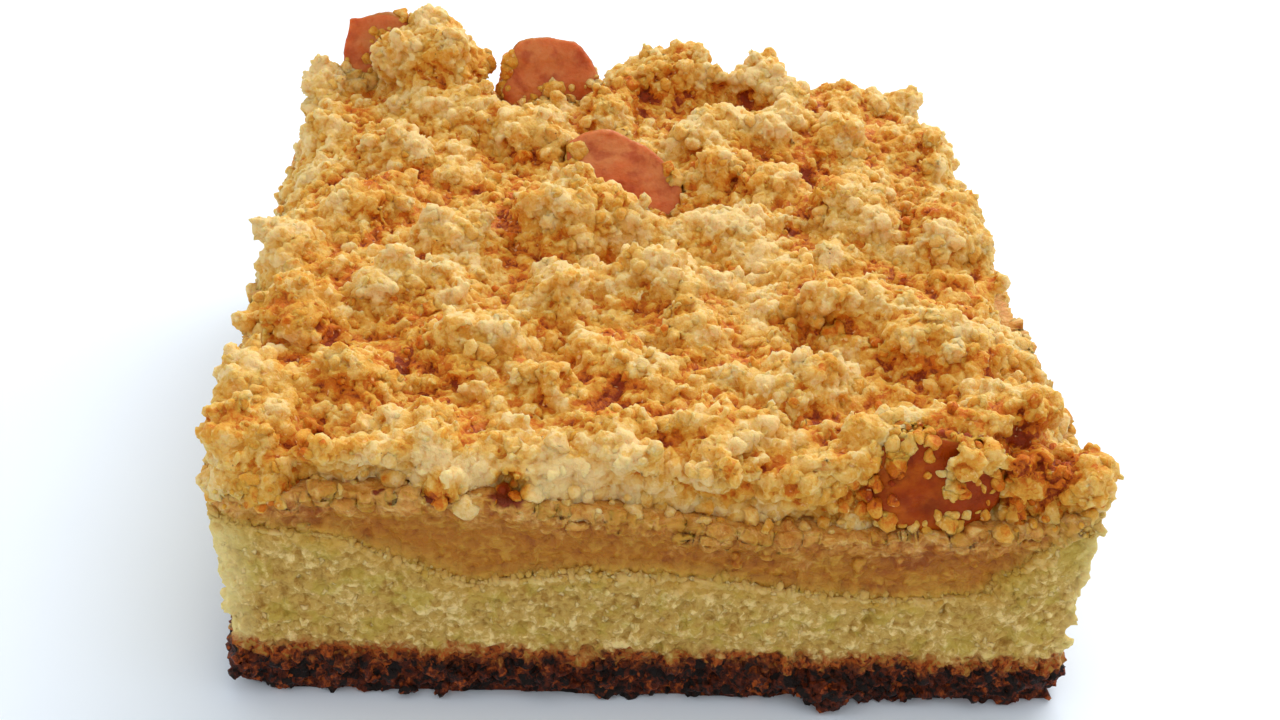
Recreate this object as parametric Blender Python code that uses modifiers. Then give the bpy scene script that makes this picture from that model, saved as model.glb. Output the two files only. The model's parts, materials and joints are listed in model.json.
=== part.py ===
"""A square slice of fruit crumb cake, cut from a sheet: a dark baked underside, pale sponge, a band of soft
fruit, and a thick butter crumble with four pieces of fruit standing in it, skin side out."""

import math
import random

import bmesh
import bpy
from mathutils import Euler, Matrix, Vector, noise

MM = 0.001

# The slice as a whole: cut by hand, so its underside is not quite square
FRONT_LEFT = Vector((-0.0476, -0.0474))
FRONT_RIGHT = Vector((0.0466, -0.0498))
BACK_RIGHT = Vector((0.0456, 0.0465))
BACK_LEFT = Vector((-0.0464, 0.0465))
SIDE = 0.0945  # the mean length of a side
LEAN_LEFT = 0.0022  # how far each cut side leans out by the height of the crumble
LEAN_RIGHT = 0.0005
LEAN_FRONT = 0.0010
LEAN_BACK = 0.0010
LEAN_HEIGHT = 0.030
CORNER = 0.0026  # radius of the four upright edges
GAP = 0.0003  # clearance between pieces that touch
SIDE_CELLS = 16  # facets along one side of the sponge

# The sponge and its baked underside
CRUST_HEIGHT = 0.0036
CRUST_ROUGHNESS = 0.0008
SPONGE_ROUGHNESS = 0.0003
BOTTOM_ROUNDING = 0.0006
SPONGE_LEVELS = (0.0, 0.0018, CRUST_HEIGHT, 0.0066, LEAN_HEIGHT)
SPONGE_HEIGHT = 0.0172  # under the middle of the fruit
CORNER_RISE = 0.0092  # the sponge climbs to the crumble at three corners
CORNER_SPAN = (0.74, 0.95)  # nearness to a corner at which the climb starts and ends
SHELF_RISE = 0.0070  # and lies higher all along the front left
SHELF_EDGE = (0.022, 0.034)
QUARTER_BLEND = 0.020  # how far from the middle the front left quarter takes over
WAVE_ACROSS = 0.0015
WAVE_LENGTH = 0.0090
WAVE_CREST = -0.0040
CRUST_CRUMBS = 6  # ragged bits along the crust of each side
CRUST_CRUMB_RADIUS = (0.0011, 0.0017)
CRUST_SUNK = 0.3
CRUST_FLAP = (Vector((0.0195, -0.0505, 0.0026)), Vector((0.0034, 0.0030, 0.0023)))

# The fruit band
FRUIT_LEVEL = 0.0262  # height of its top
FRUIT_SWELL = 0.0021
FRUIT_SWELL_LENGTH = 0.094
FRUIT_CREST = -0.030  # where the swell is highest at the front
FRUIT_SKEW = 0.35  # how far the crest moves across for each step back
FRUIT_RECESS = 0.0009  # the soft fruit lies back from the cut sides
FRUIT_SPAN = (0.010, 0.040)  # the block that the band is cut from

# Open hollows under the crumble at the front, in millimetres: x and height, half width, half height
CAVITIES = (
    (-31.0, 30.2, 1.7, 1.4),
    (-24.5, 29.0, 2.9, 1.5),
    (-17.5, 28.8, 2.2, 1.6),
)
CAVITY_DEPTH = 0.0045
CAVITY_FRONT = -0.0490

# The rolling surfaces that part the layers
TERRAIN_SIDE = 0.114
TERRAIN_CELLS = 16
ABOVE_ALL = 0.060

# The solid core of the crumble
CORE_FRONT = 0.0318  # its height at the front
CORE_BACK = 0.0362  # and at the back
CORE_SHOULDER = 0.0035  # the core sinks by this much at its cut sides
CORE_BUMPS = 0.0026
CORE_BUMP_LENGTH = 0.0070
CORE_RECESS = 0.0022
CORE_CELLS = 26
CORE_FLOOR = 0.0190  # below the lowest of its bed
# Hollows in the core, in millimetres: x and y, radius, depth
HOLLOWS = (
    (-1, 14, 9, 4.0),
    (6, 7, 6, 3.5),
    (-27, -8, 5, 2.5),
    (-2, -4, 4, 2.5),
    (25, 17, 5, 2.5),
    (18, -24, 5, 2.5),
    (-33, 13, 4, 2.0),
)

# Large clumps, in millimetres: centre x and y, half width, half depth, height of the top
BACK_CLUMPS = (
    (-44.5, 40, 4.8, 6, 39.5),
    (-29.5, 40, 9.5, 7, 46.0),
    (-29, 43, 4, 3, 47.8),
    (-42, 26, 6, 7, 38.5),
    (-25, 30, 8, 6, 41.0),
    (-34, 20, 6, 6, 39.0),
    (-15, 26, 7, 6, 40.5),
    (-4, 31, 4, 4, 40.0),
    (4.5, 41, 9.5, 6, 42.5),
    (8, 43, 4, 3, 44.0),
    (19.5, 41, 4.8, 5, 43.2),
    (21, 30, 5, 5, 40.5),
    (34, 41, 10, 6, 38.5),
    (29, 27, 5, 5, 38.0),
    (42, 25, 5, 9, 38.5),
)
MIDDLE_CLUMPS = (
    (12, 26, 9, 5, 40.5),
    (18, 13, 6, 4, 38.5),
    (11, 16, 4, 5, 38.5),
    (-10, 3, 9, 7, 39.8),
    (-24, -1, 7, 6, 38.0),
    (-35, 6, 6, 5, 37.8),
    (-45, -4, 5, 8, 37.5),
    (27, 6, 8, 7, 38.5),
    (11, 2, 8, 6, 37.5),
    (40, 3, 7, 8, 38.5),
    (0, -11, 7, 7, 38.0),
    (-12, -14, 6, 6, 37.0),
    (4, -22, 5, 5, 36.5),
    (25, -17, 9, 5, 37.8),
    (33.5, -25, 8.4, 8, 38.2),
    (-30, -12, 8, 5, 37.0),
    (-42, -19, 6, 6, 37.0),
)
FRONT_CLUMPS = (
    (-46, -33, 5, 7, 37.2),
    (-46, -42, 5, 5, 35.6),
    (-36, -32, 6, 5, 36.0),
    (-21, -25, 8, 6, 36.2),
    (-5, -28, 5, 5, 35.6),
    (-13, -33, 2.4, 2.6, 36.6),
    (14, -32, 8, 6, 36.4),
    (28, -42.5, 9, 4.5, 37.0),
    (20, -46.8, 3.8, 3, 35.0),
    (33.5, -47.6, 3.4, 2.4, 36.4),
    (38.5, -46.8, 4, 3.4, 33.6),
    (37, -38, 6, 5, 37.2),
    (46, -46, 6, 5, 33.8),
    (6, -40, 7, 5, 35.0),
    (-6, -41, 6, 4, 34.6),
    (-28, -41, 8, 5, 34.8),
    (-44, -46, 5, 3.4, 31.8),
    (-17, -44, 12, 5, 33.0),
    (14, -46, 7, 4, 32.0),
)
MIN_CLUMP_HEIGHT = 0.0024
CLUMP_FLATNESS = 0.85  # upright half height of a clump for its half depth
FINE_CLUMP = 0.0085  # clumps as wide as this get a finer mesh
KNIFE_KEEPS = 0.45  # share of a clump's reach past the cut sides that survives the knife
LUMPINESS = 0.26  # of a clump, for its radius
BREAKS = 4  # broken faces of a clump
BREAK_LEVEL = 0.78  # how near the middle of a clump a break starts
BREAK_DEPTH = 0.8  # share of what lies past a break that is pressed flat

# Nuggets scattered over the clumps, and along the cut sides
NUGGETS_ACROSS = 11
NUGGET_RADIUS = (0.0022, 0.0040)
NUGGET_SUNK = 0.40
NUGGET_JITTER = 0.38
NUGGET_SPREAD = 0.94  # share of the slice that the nuggets on top cover
SIDE_NUGGETS = 12  # along each cut side
SIDE_NUGGET_RADIUS = (0.0016, 0.0028)
SIDE_NUGGET_HEIGHT = (0.0270, 0.0330)
SIDE_STRETCH = 1.5  # lumps on a cut side lie along it
SIDE_SUNK = 0.9
CLEAR_OF_SKIN = 0.0062  # no nugget this near the middle of a fruit skin
CRUMBLE_GRAIN = 0.0007
CRUMBLE_TRIANGLES = 7700
SEED = 41

# Pieces of fruit: name, place of the skin's middle in millimetres, half width, half length, depth, the
# turns in degrees that bring the skin from straight up, and how much the ends narrow
SKIN_RADIUS = 0.030
WEDGES = (
    ("fruit_wedge_back_left", (-37.5, 42.0, 39.5), 4.6, 6.0, 4.5, (80, 0, -8), 0.10),
    ("fruit_wedge_back_middle", (-12.2, 39.5, 37.6), 7.0, 6.4, 6.0, (70, 0, 6), 0.42),
    ("fruit_wedge_centre", (-2.4, 15.0, 34.8), 9.0, 4.9, 6.0, (46, 20, -26), 0.45),
    ("fruit_wedge_front_right", (27.6, -47.9, 30.2), 7.8, 4.9, 6.0, (76, 4, -3), 0.45),
)


def smoothstep(low, high, value):
    t = min(max((value - low) / (high - low), 0.0), 1.0)
    return t * t * (3 - 2 * t)


def plan_point(across, back):
    """The point of the underside at these shares, from 0 at the front left corner to 1 and 1."""
    return FRONT_LEFT.lerp(FRONT_RIGHT, across).lerp(BACK_LEFT.lerp(BACK_RIGHT, across), back)


def cut_sides(x, y):
    """The left and right cut sides level with y, and the front and back ones level with x."""
    across, back = x / SIDE + 0.5, y / SIDE + 0.5
    left, right = plan_point(0.0, back).x - LEAN_LEFT, plan_point(1.0, back).x + LEAN_RIGHT
    front, rear = plan_point(across, 0.0).y - LEAN_FRONT, plan_point(across, 1.0).y + LEAN_BACK
    return (left, right), (front, rear)


def corner_nearness(x, y):
    """1 at a corner of the slice and small along the middle of its sides."""
    return min(abs(x), abs(y)) / (SIDE / 2)


def sponge_top(x, y):
    front_left = smoothstep(0.0, QUARTER_BLEND, -x) * smoothstep(0.0, QUARTER_BLEND, -y)
    corner = CORNER_RISE * (1 - front_left) * smoothstep(*CORNER_SPAN, corner_nearness(x, y))
    shelf = SHELF_RISE * front_left * smoothstep(*SHELF_EDGE, -x)
    wave = WAVE_ACROSS * math.cos((x - WAVE_CREST) / WAVE_LENGTH)
    return SPONGE_HEIGHT + corner + shelf + wave


def fruit_top(x, y):
    phase = (x - FRUIT_CREST + FRUIT_SKEW * (y + SIDE / 2)) * 2 * math.pi / FRUIT_SWELL_LENGTH
    return max(FRUIT_LEVEL + FRUIT_SWELL * math.cos(phase), sponge_top(x, y))


def core_top(x, y):
    level = CORE_FRONT + (CORE_BACK - CORE_FRONT) * smoothstep(-SIDE / 2, SIDE / 2, y)
    edge = smoothstep(0.88, 1.0, 2 * max(abs(x), abs(y)) / SIDE)
    bumps = CORE_BUMPS * noise.noise(Vector((x, y, 0)) / CORE_BUMP_LENGTH)
    sunk = 0.0
    for hollow_x, hollow_y, radius, depth in HOLLOWS:
        away = math.hypot(x / MM - hollow_x, y / MM - hollow_y) / radius
        sunk += depth * MM * (1 - smoothstep(0.3, 1.0, away))
    return level + bumps - CORE_SHOULDER * edge - sunk


def material(name, colour, roughness):
    made = bpy.data.materials.new(name)
    made.use_nodes = True
    shader = made.node_tree.nodes["Principled BSDF"]
    shader.inputs["Base Color"].default_value = (*colour, 1.0)
    shader.inputs["Roughness"].default_value = roughness
    shader.inputs["Metallic"].default_value = 0.0
    return made


def new_object(name, shape, collection):
    """Turns a bmesh into an object of the collection, and frees the bmesh."""
    mesh = bpy.data.meshes.new(name)
    bmesh.ops.recalc_face_normals(shape, faces=shape.faces[:])
    if shape.calc_volume(signed=True) < 0:
        bmesh.ops.reverse_faces(shape, faces=shape.faces[:])
    shape.to_mesh(mesh)
    shape.free()
    made = bpy.data.objects.new(name, mesh)
    collection.objects.link(made)
    return made


def new_cutter(name, shape, collection):
    cutter = new_object(name, shape, collection)
    cutter.hide_render = True
    cutter.display_type = "WIRE"
    return cutter


def extruded(shape, faces, height_at):
    """Extrudes the faces and sets the height of each new vertex. Returns the new faces."""
    grown = bmesh.ops.extrude_face_region(shape, geom=faces)["geom"]
    for item in grown:
        if isinstance(item, bmesh.types.BMVert):
            item.co.z = height_at(item.co.x, item.co.y)
    return [item for item in grown if isinstance(item, bmesh.types.BMFace)]


def softened(x, y, half):
    """Moves a point of a sharp square in to the soft corners of the slice."""
    flat = half - CORNER
    inner = Vector((min(max(x, -flat), flat), min(max(y, -flat), flat)))
    out = Vector((x, y)) - inner
    if out.length > CORNER:
        out *= CORNER / out.length
    return inner + out


def side_relief(x, y, z):
    """How far the cut side stands out of the plain plan at this height, without its lean."""
    grain = noise.noise(Vector((x, y, 2 * z)) / 0.0042)
    if z <= CRUST_HEIGHT:
        return CRUST_ROUGHNESS * grain - BOTTOM_ROUNDING * (1 - smoothstep(0.0, 0.0018, z))
    return SPONGE_ROUGHNESS * grain


def leaned(point):
    """Leans a point of the upright plan out, by its height and its nearness to each cut side."""
    share = min(point.z / LEAN_HEIGHT, 1.0)
    across = min(max(point.x / SIDE + 0.5, 0.0), 1.0)
    back = min(max(point.y / SIDE + 0.5, 0.0), 1.0)
    lean_x = LEAN_RIGHT * across - LEAN_LEFT * (1 - across)
    lean_y = LEAN_BACK * back - LEAN_FRONT * (1 - back)
    return point + share * Vector((lean_x, lean_y, 0))


def slice_block(name, recess, levels, cells, collection):
    """An upright block with the plan of the slice. A level is a height, or a function that gives it."""
    half = SIDE / 2 - recess
    shape = bmesh.new()
    bmesh.ops.create_grid(shape, x_segments=cells, y_segments=cells, size=half)
    for vertex in shape.verts:
        vertex.co.z = levels[0]
    faces = shape.faces[:]
    for level in levels[1:]:
        inner = faces if level != levels[1] else []
        faces = extruded(shape, faces, level if callable(level) else lambda x, y: level)
        bmesh.ops.delete(shape, geom=inner, context="FACES_ONLY")
    underside = [face for face in shape.faces if face.calc_center_median().z == levels[0]]
    bmesh.ops.dissolve_faces(shape, faces=underside)
    for vertex in shape.verts:
        x, y, z = vertex.co
        on_side = max(abs(x), abs(y)) > half - 1e-5
        square = softened(x, y, half)
        if on_side:
            square *= 1 + side_relief(x, y, z) / half
        plan = plan_point(square.x / SIDE + 0.5, square.y / SIDE + 0.5)
        vertex.co = leaned(Vector((*plan, z)))
    return new_object(name, shape, collection)


def terrain(name, height_at, far_level, collection):
    """A closed slab from a rolling surface to a flat level, which cuts the layers apart."""
    shape = bmesh.new()
    cells = TERRAIN_CELLS
    bmesh.ops.create_grid(shape, x_segments=cells, y_segments=cells, size=TERRAIN_SIDE / 2)
    bmesh.ops.triangulate(shape, faces=shape.faces[:])
    for vertex in shape.verts:
        vertex.co.z = height_at(vertex.co.x, vertex.co.y)
    extruded(shape, shape.faces[:], lambda x, y: far_level)
    return new_cutter(name, shape, collection)


def boolean(target, other, operation="DIFFERENCE", solver="EXACT"):
    modifier = target.modifiers.new(other.name, "BOOLEAN")
    modifier.operation = operation
    modifier.solver = solver
    if isinstance(other, bpy.types.Collection):
        modifier.operand_type = "COLLECTION"
        modifier.collection = other
    else:
        modifier.object = other


def apply_modifiers(target):
    graph = bpy.context.evaluated_depsgraph_get()
    mesh = bpy.data.meshes.new_from_object(target.evaluated_get(graph))
    old = target.data
    target.modifiers.clear()
    target.data = mesh
    bpy.data.meshes.remove(old)


def fuse(target, pieces):
    """Joins every object of the collection to the target, and removes the collection."""
    boolean(target, pieces, "UNION", "MANIFOLD")
    apply_modifiers(target)
    for piece in list(pieces.objects):
        bpy.data.objects.remove(piece)
    bpy.data.collections.remove(pieces)


def thin_out(target, grain, triangles):
    """Melts the fused pieces together at this grain, then keeps about this many triangles."""
    melt = target.modifiers.new("melt", "REMESH")
    melt.mode = "VOXEL"
    melt.voxel_size = grain
    apply_modifiers(target)
    count = sum(len(face.vertices) - 2 for face in target.data.polygons)
    collapse = target.modifiers.new("collapse", "DECIMATE")
    collapse.ratio = triangles / count
    apply_modifiers(target)


def keep_largest_body(target):
    """Drops loose scraps, and fills sealed hollows by dropping their walls."""
    shape = bmesh.new()
    shape.from_mesh(target.data)
    unseen = set(shape.verts)
    bodies = []
    while unseen:
        body = {unseen.pop()}
        frontier = list(body)
        while frontier:
            vertex = frontier.pop()
            near = {edge.other_vert(vertex) for edge in vertex.link_edges} & unseen
            unseen -= near
            body |= near
            frontier.extend(near)
        bodies.append(body)
    bodies.sort(key=len)
    for body in bodies[:-1]:
        bmesh.ops.delete(shape, geom=list(body), context="VERTS")
    shape.to_mesh(target.data)
    shape.free()


def knifed(point):
    """Draws a point that reaches past a cut side most of the way back to it."""
    for axis, (low, high) in enumerate(cut_sides(point.x, point.y)):
        under = max(low - point[axis], 0.0)
        over = max(point[axis] - high, 0.0)
        point[axis] += (1 - KNIFE_KEEPS) * (under - over)
    return point


def clump(name, centre, radii, subdivisions, draw, collection):
    """A broken, lumpy ball of crumble."""
    shape = bmesh.new()
    bmesh.ops.create_icosphere(shape, subdivisions=subdivisions, radius=1.0)
    offset = Vector((draw.uniform(0, 99), draw.uniform(0, 99), draw.uniform(0, 99)))
    breaks = [
        Vector((draw.gauss(0, 1), draw.gauss(0, 1), draw.gauss(0, 0.6))).normalized()
        for _ in range(BREAKS)
    ]
    turn = Matrix.Rotation(draw.uniform(-0.35, 0.35), 3, "Z")
    for vertex in shape.verts:
        point = vertex.co.copy()
        point *= 1 + LUMPINESS * noise.noise(point * 1.5 + offset)
        for way in breaks:
            point -= BREAK_DEPTH * max(point.dot(way) - BREAK_LEVEL, 0.0) * way
        vertex.co = knifed(turn @ Vector([a * b for a, b in zip(point, radii)]) + centre)
    return new_object(name, shape, collection)


def large_clumps():
    """Centre and radii of each large clump, in metres."""
    for x, y, half_width, half_depth, top in BACK_CLUMPS + MIDDLE_CLUMPS + FRONT_CLUMPS:
        half_height = max(CLUMP_FLATNESS * half_depth * MM, MIN_CLUMP_HEIGHT)
        centre = Vector((x * MM, y * MM, top * MM - half_height))
        yield centre, Vector((half_width * MM, half_depth * MM, half_height))


def heap_top(x, y, clumps):
    """Height of the crumble with only its large clumps in place."""
    top = core_top(x, y)
    for centre, radii in clumps:
        inside = 1 - ((x - centre.x) / radii.x) ** 2 - ((y - centre.y) / radii.y) ** 2
        if inside > 0:
            top = max(top, centre.z + radii.z * math.sqrt(inside))
    return top


def nuggets(clumps, draw):
    """Centre and radii of the nuggets on top, on a jittered grid, and of those along the cut sides."""
    cells = NUGGETS_ACROSS
    for row in range(cells):
        for column in range(cells):
            across = (column + 0.5 + draw.uniform(-NUGGET_JITTER, NUGGET_JITTER)) / cells
            back = (row + 0.5 + draw.uniform(-NUGGET_JITTER, NUGGET_JITTER)) / cells
            x, y = plan_point(across, back) * NUGGET_SPREAD
            radius = draw.uniform(*NUGGET_RADIUS)
            z = heap_top(x, y, clumps) - NUGGET_SUNK * radius
            yield Vector((x, y, z)), radius * Vector((1.15, 1.0, 0.85))
    yield from side_lumps(SIDE_NUGGETS, SIDE_NUGGET_RADIUS, SIDE_NUGGET_HEIGHT, SIDE_SUNK, draw)


def side_lumps(count, reach, heights, sunk, draw):
    """Centre and radii of small lumps along the four cut sides, sunk by a share of their radius."""
    for quarter in range(4):
        for place in range(count):
            along = (place + 0.5 + draw.uniform(-0.35, 0.35)) / count
            radius = draw.uniform(*reach)
            inward = sunk * radius / SIDE
            shares = ((along, inward), (1 - inward, along), (1 - along, 1 - inward), (inward, 1 - along))
            edge = plan_point(*shares[quarter])
            centre = leaned(Vector((*edge, draw.uniform(*heights))))
            long, short = radius * SIDE_STRETCH, radius
            yield centre, Vector((long, short, short) if quarter % 2 == 0 else (short, long, short))


def clear_of_fruit(centre):
    """Whether a nugget here leaves the skins of the fruit in sight."""
    return all((centre - Vector(wedge[1]) * MM).length > CLEAR_OF_SKIN for wedge in WEDGES)


def cavities(collection):
    """Cutters for the open hollows that show at the front under the crumble."""
    for index, (x, z, half_width, half_height) in enumerate(CAVITIES):
        shape = bmesh.new()
        bmesh.ops.create_icosphere(shape, subdivisions=1, radius=1.0)
        for vertex in shape.verts:
            across, ahead, up = vertex.co
            vertex.co = (
                (x + across * half_width) * MM,
                CAVITY_FRONT + ahead * CAVITY_DEPTH,
                (z + up * half_height) * MM,
            )
        new_cutter(f"cavity_{index}", shape, collection)


def crumb_topping(collection, bed, pockets):
    draw = random.Random(SEED)
    topping = slice_block("crumb_topping", CORE_RECESS, (CORE_FLOOR, core_top), CORE_CELLS, collection)
    crumbs = bpy.data.collections.new("crumbs")
    bpy.context.scene.collection.children.link(crumbs)
    clumps = list(large_clumps())
    for index, (centre, radii) in enumerate(clumps):
        fine = 3 if radii.x >= FINE_CLUMP else 2
        clump(f"clump_{index}", centre, radii, fine, draw, crumbs)
    for index, (centre, radii) in enumerate(nuggets(clumps, draw)):
        if clear_of_fruit(centre):
            clump(f"nugget_{index}", centre, radii, 2, draw, crumbs)
    fuse(topping, crumbs)
    keep_largest_body(topping)
    thin_out(topping, CRUMBLE_GRAIN, CRUMBLE_TRIANGLES)
    boolean(topping, bed, solver="MANIFOLD")
    boolean(topping, pockets, solver="MANIFOLD")
    apply_modifiers(topping)
    keep_largest_body(topping)
    return topping


def sponge_base(collection, lid):
    draw = random.Random(SEED)
    sponge = slice_block("sponge_base", 0.0, SPONGE_LEVELS, SIDE_CELLS, collection)
    crumbs = bpy.data.collections.new("crust_crumbs")
    bpy.context.scene.collection.children.link(crumbs)
    heights = (CRUST_CRUMB_RADIUS[1] + GAP, CRUST_HEIGHT)
    bits = side_lumps(CRUST_CRUMBS, CRUST_CRUMB_RADIUS, heights, CRUST_SUNK, draw)
    for index, (centre, radii) in enumerate(bits):
        clump(f"crust_crumb_{index}", centre, radii, 1, draw, crumbs)
    clump("crust_flap", *CRUST_FLAP, 2, draw, crumbs)
    fuse(sponge, crumbs)
    boolean(sponge, lid)
    return sponge


def wedge_shape(half_width, half_length, depth, narrowing, margin):
    """A piece of fruit with its skin up: domed above, narrower below, and leaf-shaped in plan."""
    shape = bmesh.new()
    bmesh.ops.create_cube(shape, size=2.0)
    bmesh.ops.subdivide_edges(shape, edges=shape.edges[:], cuts=3, use_grid_fill=True)
    for vertex in shape.verts:
        a, b, c = vertex.co
        under = (1 - c) / 2
        leaf = 1 - narrowing * b * b
        x = a * (half_width + margin) * (1 - 0.30 * under) * leaf
        y = b * (half_length + margin) * (1 - 0.18 * under) * (1 - 0.12 * a * a)
        dome = (x * x + y * y) / (2 * SKIN_RADIUS)
        vertex.co = (x, y, margin - dome - under * (depth + 2 * margin))
    return shape


def wedge_pose(place, turns):
    turned = Euler([math.radians(turn) for turn in turns], "XYZ").to_matrix().to_4x4()
    return Matrix.Translation(Vector(place) * MM) @ turned


def fruit_wedges(collection, pockets):
    """The four pieces of fruit, and the cutters that make room for them in what they are sunk in."""
    pieces = []
    for name, place, half_width, half_length, depth, turns, narrowing in WEDGES:
        size = (half_width * MM, half_length * MM, depth * MM, narrowing)
        pose = wedge_pose(place, turns)
        shape = wedge_shape(*size, 0.0)
        shape.transform(pose)
        pieces.append(new_object(name, shape, collection))
        room = wedge_shape(*size, GAP)
        room.transform(pose)
        new_cutter(name + "_pocket", room, pockets)
    return pieces


def fill(target, colour, roughness, look):
    target.data.materials.clear()
    target.data.materials.append(material(look, colour, roughness))
    target.data.shade_flat()


def main():
    for old in list(bpy.data.objects):
        bpy.data.objects.remove(old)
    cake = bpy.data.collections.new("crumb_cake")
    cutters = bpy.data.collections.new("cutters")
    pockets = bpy.data.collections.new("pockets")
    for collection in (cake, cutters, pockets):
        bpy.context.scene.collection.children.link(collection)

    wedges = fruit_wedges(cake, pockets)
    cavities(pockets)
    sponge = sponge_base(cake, terrain("above_sponge", sponge_top, ABOVE_ALL, cutters))

    fruit = slice_block("fruit_layer", FRUIT_RECESS, FRUIT_SPAN, SIDE_CELLS, cake)
    boolean(fruit, terrain("under_fruit", lambda x, y: sponge_top(x, y) + GAP, 0.0, cutters))
    boolean(fruit, terrain("above_fruit", fruit_top, ABOVE_ALL, cutters))
    boolean(fruit, pockets, solver="MANIFOLD")

    bed = terrain("under_crumble", lambda x, y: fruit_top(x, y) + GAP, 0.0, cutters)
    topping = crumb_topping(cake, bed, pockets)

    fill(sponge, (0.62, 0.46, 0.18), 0.85, "sponge")
    fill(fruit, (0.46, 0.22, 0.06), 0.45, "soft_fruit")
    fill(topping, (0.66, 0.38, 0.13), 0.75, "crumble")
    for wedge in wedges:
        fill(wedge, (0.36, 0.10, 0.035), 0.40, "fruit_skin")


main()
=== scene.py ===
"""Dresses a slice of fruit crumb cake for show: porous sponge on its dark baked underside, a band of soft
fruit, golden crumble with four pieces of fruit standing in it, and loose grains on top."""

import json
import math

import bmesh
import bpy
from bpy.props import FloatProperty, FloatVectorProperty, IntProperty, PointerProperty
from mathutils import Euler, Matrix, Vector

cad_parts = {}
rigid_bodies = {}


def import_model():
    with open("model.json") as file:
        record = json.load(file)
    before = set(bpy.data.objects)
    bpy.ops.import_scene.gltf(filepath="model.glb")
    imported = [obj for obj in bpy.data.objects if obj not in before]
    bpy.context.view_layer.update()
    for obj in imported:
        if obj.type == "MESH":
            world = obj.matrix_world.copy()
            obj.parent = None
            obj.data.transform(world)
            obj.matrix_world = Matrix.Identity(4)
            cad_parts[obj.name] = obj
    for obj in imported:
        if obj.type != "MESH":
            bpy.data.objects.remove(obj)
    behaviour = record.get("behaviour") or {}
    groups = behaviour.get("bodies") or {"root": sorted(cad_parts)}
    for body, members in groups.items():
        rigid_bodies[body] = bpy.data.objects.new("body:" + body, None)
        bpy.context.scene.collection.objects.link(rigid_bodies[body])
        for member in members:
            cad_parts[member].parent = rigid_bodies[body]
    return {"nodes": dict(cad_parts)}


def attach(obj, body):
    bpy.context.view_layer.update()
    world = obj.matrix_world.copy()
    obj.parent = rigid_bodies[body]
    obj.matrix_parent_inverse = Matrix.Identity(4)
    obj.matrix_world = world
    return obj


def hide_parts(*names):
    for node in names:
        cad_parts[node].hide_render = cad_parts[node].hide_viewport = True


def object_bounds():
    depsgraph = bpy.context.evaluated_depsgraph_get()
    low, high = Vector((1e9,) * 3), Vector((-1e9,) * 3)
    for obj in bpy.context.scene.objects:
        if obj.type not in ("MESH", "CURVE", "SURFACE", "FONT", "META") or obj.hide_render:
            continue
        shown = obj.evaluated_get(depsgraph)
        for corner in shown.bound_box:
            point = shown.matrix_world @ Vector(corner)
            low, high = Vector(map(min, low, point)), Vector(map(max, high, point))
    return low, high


bl_info = {
    "name": "Crumb cake slice",
    "version": (1, 0, 0),
    "blender": (4, 5, 0),
    "location": "3D View > Sidebar > Cake",
    "description": "Bakes the sponge, fruit, crumble and grains of a slice of fruit crumb cake",
    "category": "Add Mesh",
}

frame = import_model()
CAD_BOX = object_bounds()
SOLIDS = frame["nodes"]

MM = 0.001
SAME_POINT = 1e-6
BOX_MARGIN = 0.00005  # how far every piece stays inside the box of the model
BODY = "root"
ANYWHERE = 1.0  # a distance past every part of the slice
COARSE_VOXEL = 0.7 * MM  # evens out the faces of a solid before anything grows on it
JUICE_REACH = 3.5 * MM  # how far the fruit colours the sponge beside it
CUT_SIDES = 10 * MM  # crumbs on the cut sides start at this height
BED_HALF = 43 * MM  # the crumble lies on the fruit this far from the middle, up to the bed's level
BED_LEVEL = 29 * MM

# Size and reach of the push that makes a pattern uneven, for crumbs and fruit
CRUMB_STIR = (1.0 * MM, 1.2 * MM)
FRUIT_STIR = (1.6 * MM, 1.8 * MM)

# How crumbs are drawn: most of them small, each stretched a little, and none in bare patches of this size
FEW_LARGE = 1.8
STRETCH = (0.68, 1.3)
BARE_PATCH = 6 * MM

# Pieces of fruit: the turns in degrees that bring each skin from straight up
SKIN_TURNS = {
    "fruit_wedge_back_left": (80, 0, -8),
    "fruit_wedge_back_middle": (70, 0, 6),
    "fruit_wedge_centre": (46, 20, -26),
    "fruit_wedge_front_right": (76, 4, -3),
}

# The pieces that crumbs keep clear of
BARE = ("fruit_wedge_back_left", "fruit_wedge_back_middle", "fruit_wedge_centre")

# Spots that differ from what is round them. Each has its middle and its reach, in millimetres.
# Browner parts of the crumble: some are baked browner, and some are painted shade in crevices and under
# clumps
BAKED_AND_SHADED = (
    (30.5, -49, 34, 3), (32, -49, 32, 3.5), (-13, -12, 43, 5.5), (-9, -16, 40, 4), (-19, 4, 41, 6),
    (-21, 14, 43, 4), (-34, 6, 41, 5.5), (-32, 1, 40, 4), (-29, 22, 45, 5), (-36, -20, 39, 4),
    (-39, -10, 39, 4), (-44, -23, 38, 5), (-27, -20, 41, 4), (-25, -29, 41, 5), (-38, -29, 40, 4.5),
    (-38, -47, 37, 8), (-27, -50, 36, 5), (-14, -48, 42, 3.5), (0, -50, 35, 5), (7, -50, 35, 4),
    (0, -36, 41, 3.5), (19, -34, 39, 5), (19, -13, 41, 4), (35, -16, 40, 6), (36, 4, 40, 6), (21, 7, 39, 5),
    (41, -45, 35, 9), (30, -45, 36, 6), (38, -32, 37, 5), (24, -49, 30, 5), (36, -50, 30, 5),
    (-43, -49, 29, 6), (-33, -50, 31, 3),
)
# Its palest parts, the one at the front lip painted light where the lip lies in shade, and the front ledge,
# made pale as painted light where it catches the light from above
PALE = ((-27, 22, 47, 9), (4, -10, 40, 17), (-9, -49, 34, 8), (14, 22, 42, 9), (-2, -30, 39, 9))
LIT_LEDGE = (
    (-25, -49.5, 32.6, 4), (-19, -49.5, 32, 4), (-13, -49.5, 31, 4), (-8, -49.5, 30, 4), (-4, -49.5, 29, 3),
)
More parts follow.
